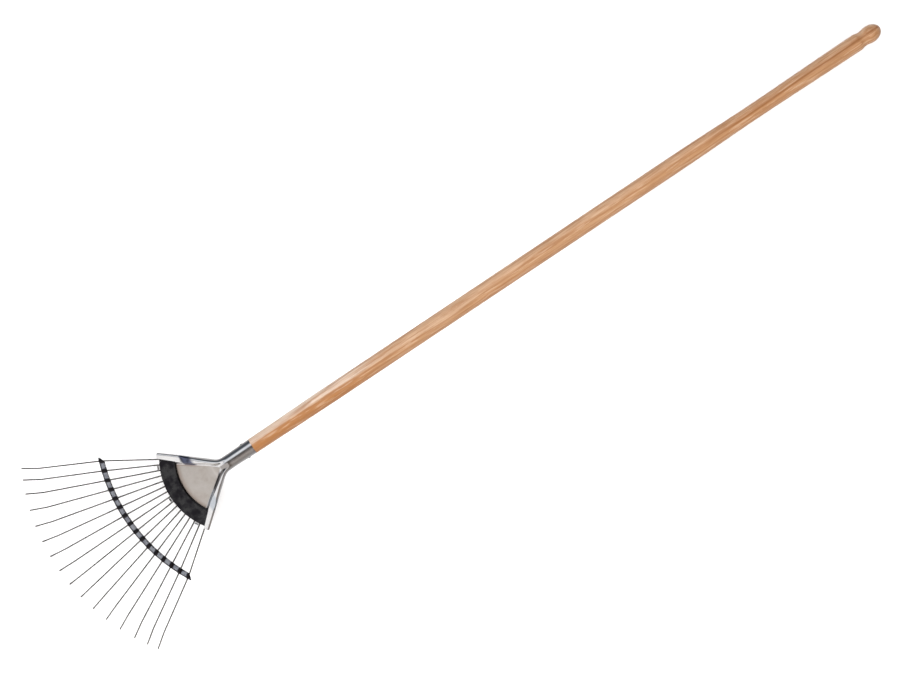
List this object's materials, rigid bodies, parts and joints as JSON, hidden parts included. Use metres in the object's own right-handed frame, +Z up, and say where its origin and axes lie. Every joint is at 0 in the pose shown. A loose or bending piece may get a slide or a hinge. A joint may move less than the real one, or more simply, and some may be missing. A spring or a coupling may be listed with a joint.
{
  "type": "leaf rake",
  "caption": "Long-handled leaf and lawn rake: ash handle, polished steel head with a rivetted socket, and a fan of sprung wire tines spaced by a curved spreader strip.",
  "frame": {"origin": "on the ground under the middle of the rake's bounding box, as it lies on its middle tine tips and its knob", "axes": "+X along the length towards the grip, +Y across the fan, +Z up"},
  "size_m": [1.6888, 0.3914, 0.0891],
  "materials": {
    "ash": "clear lacquer",
    "polished_steel": "polished",
    "dark_steel": "dark polished",
    "rivet_steel": "satin",
    "spreader_steel": "polished",
    "spring_wire": "satin"
  },
  "bodies": {
    "root": {"handle": "ash", "head_shell": "polished_steel", "clamp_plate": "dark_steel", "socket_rivet": "rivet_steel", "spreader": "spreader_steel", "tine_01": "spring_wire", "tine_02": "spring_wire", "tine_03": "spring_wire", "tine_04": "spring_wire", "tine_05": "spring_wire", "tine_06": "spring_wire", "tine_07": "spring_wire", "tine_08": "spring_wire", "tine_09": "spring_wire", "tine_10": "spring_wire", "tine_11": "spring_wire", "tine_12": "spring_wire", "tine_13": "spring_wire", "tine_14": "spring_wire", "tine_15": "spring_wire", "tine_16": "spring_wire"}
  },
  "joints": []
}
